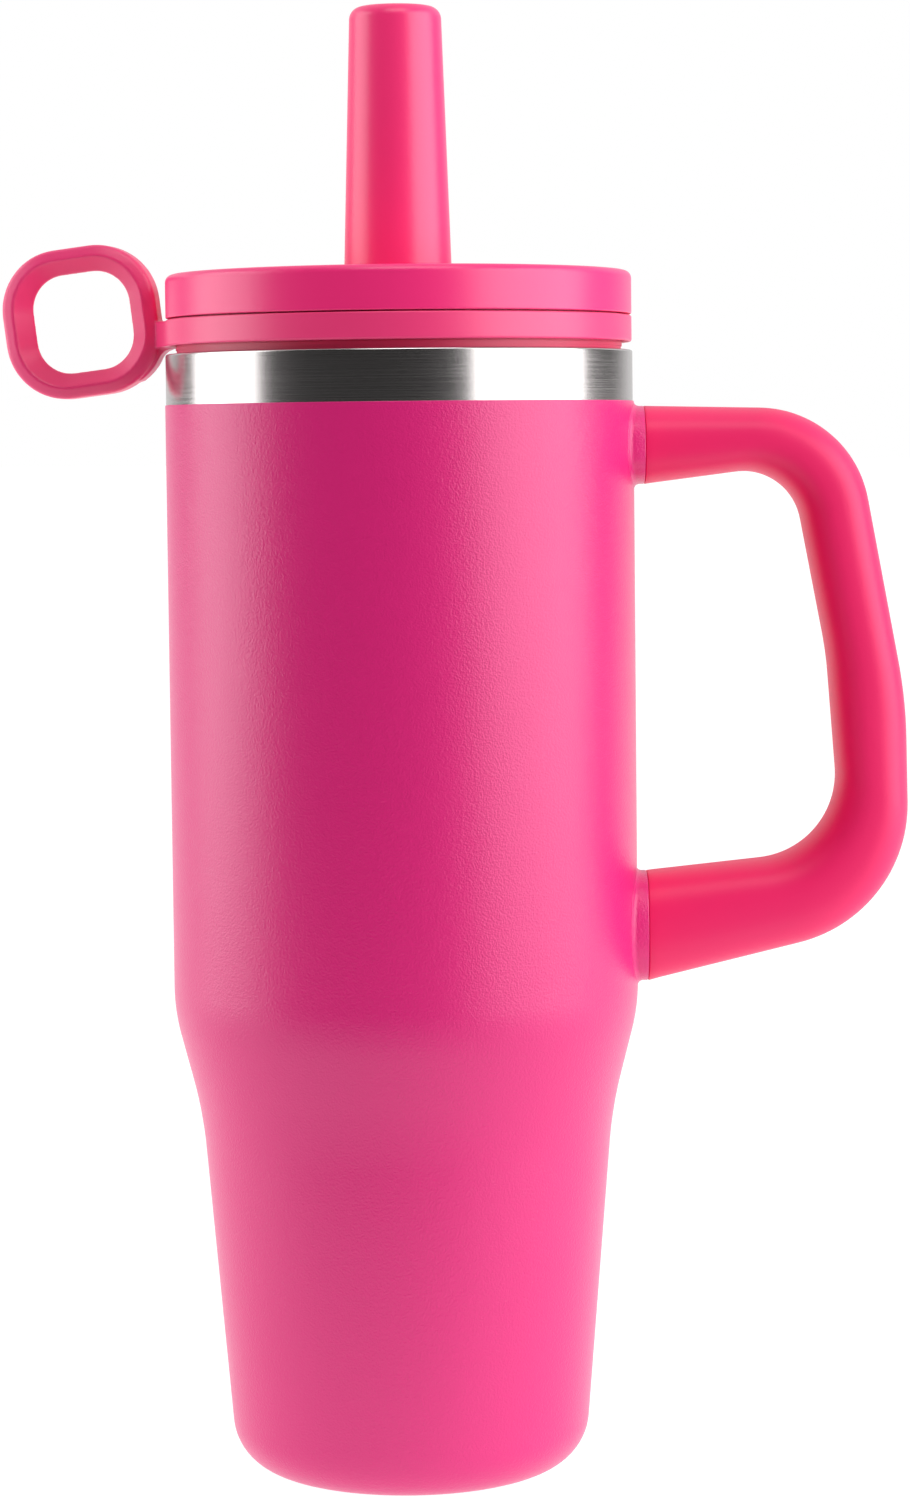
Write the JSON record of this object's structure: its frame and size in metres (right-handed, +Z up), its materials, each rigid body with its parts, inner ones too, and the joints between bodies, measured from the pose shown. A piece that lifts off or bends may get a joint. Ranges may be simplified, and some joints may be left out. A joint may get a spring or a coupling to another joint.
{
  "type": "insulated tumbler with lid",
  "caption": "Tall tapered double-wall steel tumbler with a coated body, side handle, push-in lid, swivelling carry loop, through straw and pull-off straw cap.",
  "frame": {"origin": "on the cup's axis, on the surface that the cup stands on", "axes": "+Z up along the cup's axis, +X towards the handle, +Y away from a viewer who sees the handle on the right"},
  "size_m": [0.1909, 0.0984, 0.3091],
  "materials": {
    "coating": "matte powder coat with a fine orange-peel grain",
    "shell_steel": "horizontally brushed stainless steel, bare below the lip",
    "vessel_steel": "electropolished stainless steel",
    "plate_steel": "plain pressed stainless steel",
    "seal_metal": "solder bead",
    "getter": "sintered pill",
    "pad": "soft matte silicone",
    "bracket": "matte powder coat over welded steel",
    "handle_core": "glass-filled nylon, unpainted",
    "handle_grip": "satin soft-touch overmould",
    "screw": "plain stainless",
    "screw_plug": "soft matte plug",
    "lid": "satin moulded polypropylene",
    "lid_inner": "moulded polypropylene",
    "seal": "clear pink silicone",
    "straw": "tinted polypropylene",
    "straw_tip": "soft silicone",
    "strap": "soft satin elastomer",
    "cap": "soft satin moulding"
  },
  "bodies": {
    "cup": {"outer_shell": "shell_steel", "powder_coat": "coating", "inner_vessel": "vessel_steel", "base_plate": "plate_steel", "vacuum_seal": "seal_metal", "getter": "getter", "base_pad": "pad", "upper_bracket": "bracket", "lower_bracket": "bracket", "handle_core": "handle_core", "handle_grip": "handle_grip", "upper_screw": "screw", "lower_screw": "screw", "upper_screw_plug": "screw_plug", "lower_screw_plug": "screw_plug"},
    "lid": {"lid_cover": "lid", "lid_plug": "lid_inner", "lid_seal": "seal", "straw_grommet": "seal", "straw": "straw", "straw_tip": "straw_tip", "vent_valve": "seal"},
    "strap": {"carry_strap": "strap"},
    "cap": {"straw_cap": "cap"}
  },
  "joints": [
    {"name": "lid_lift", "type": "slide", "parent": "cup", "child": "lid", "axis": [0, 0, 1], "range_m": [0, 0.24]},
    {"name": "strap_swivel", "type": "hinge", "parent": "lid", "child": "strap", "pos_m": [0, 0, 0.2416], "axis": [0, 0, 1], "continuous": true},
    {"name": "cap_pull", "type": "slide", "parent": "lid", "child": "cap", "axis": [0, 0, 1], "range_m": [0, 0.06]}
  ]
}
